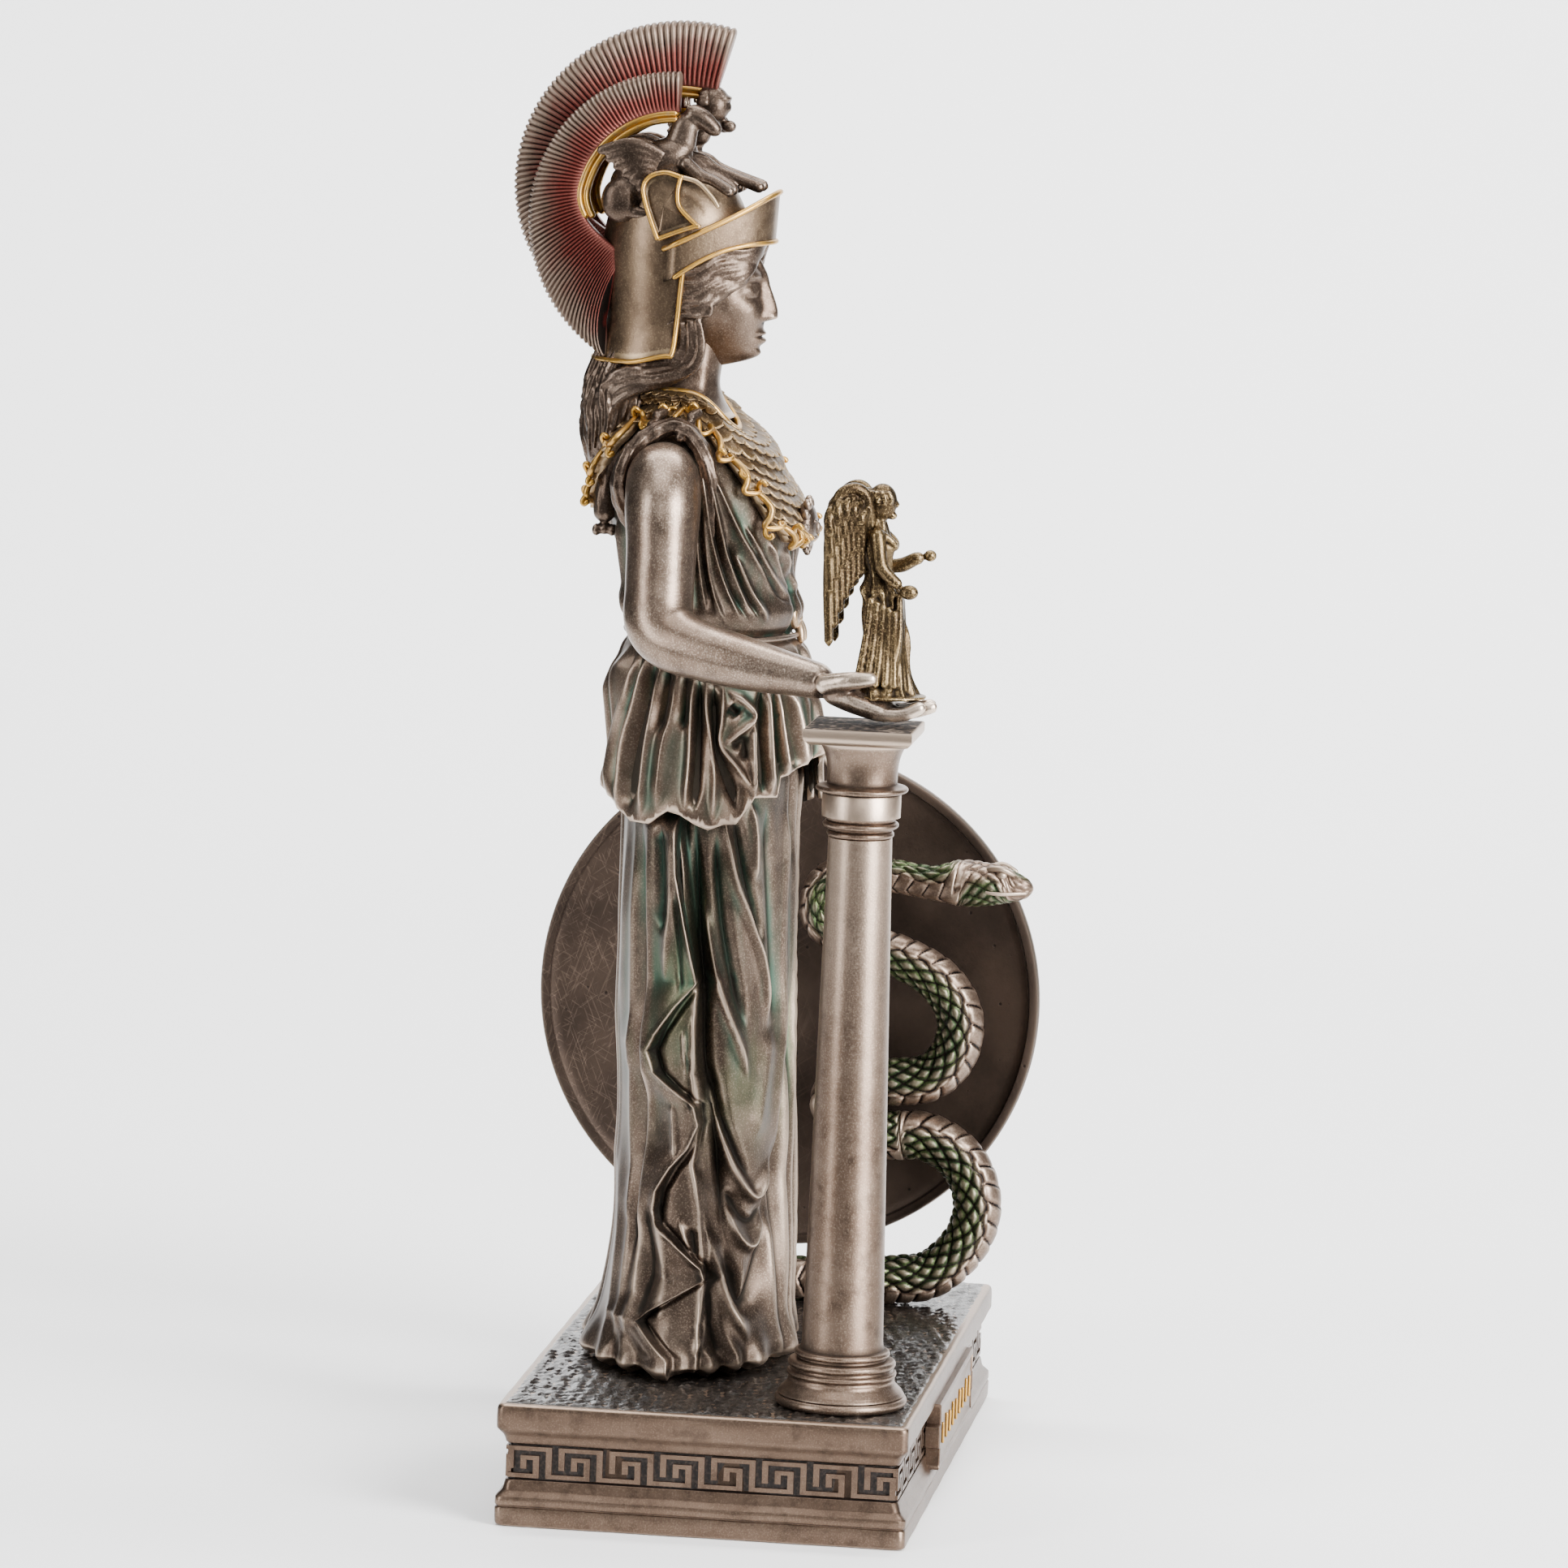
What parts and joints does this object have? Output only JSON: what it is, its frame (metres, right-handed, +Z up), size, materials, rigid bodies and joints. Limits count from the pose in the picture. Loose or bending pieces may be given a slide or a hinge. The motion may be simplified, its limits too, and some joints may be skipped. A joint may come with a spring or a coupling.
{
  "type": "athena statue",
  "caption": "Bronze-finish statuette of a helmeted goddess in a long gown with a column, a winged figure on her hand, a round shield and a snake, on a moulded plinth",
  "frame": {"origin": "middle of the plinth's underside", "axes": "+Z up, -Y the way the figure looks, +X her left-hand side with the shield, -X the column's side"},
  "size_m": [0.1556, 0.1084, 0.3003],
  "materials": {
    "plinth": "cast resin with a brown bronze finish, dark glossy top, dark recesses in the key pattern",
    "figure": "cast resin with a brushed bronze finish, dark and green recesses, red crests, gilt edges",
    "column": "cast resin with a brushed bronze finish",
    "gilt": "cast resin, dark bronze with gilt high spots",
    "shield": "cast resin with a dull brown bronze finish, finely scratched",
    "snake": "cast resin, green scales with bronze belly plates"
  },
  "bodies": {
    "root": {"plinth": "plinth", "goddess": "figure", "column": "column", "winged_victory": "gilt", "shield": "shield", "snake": "snake"}
  },
  "joints": []
}
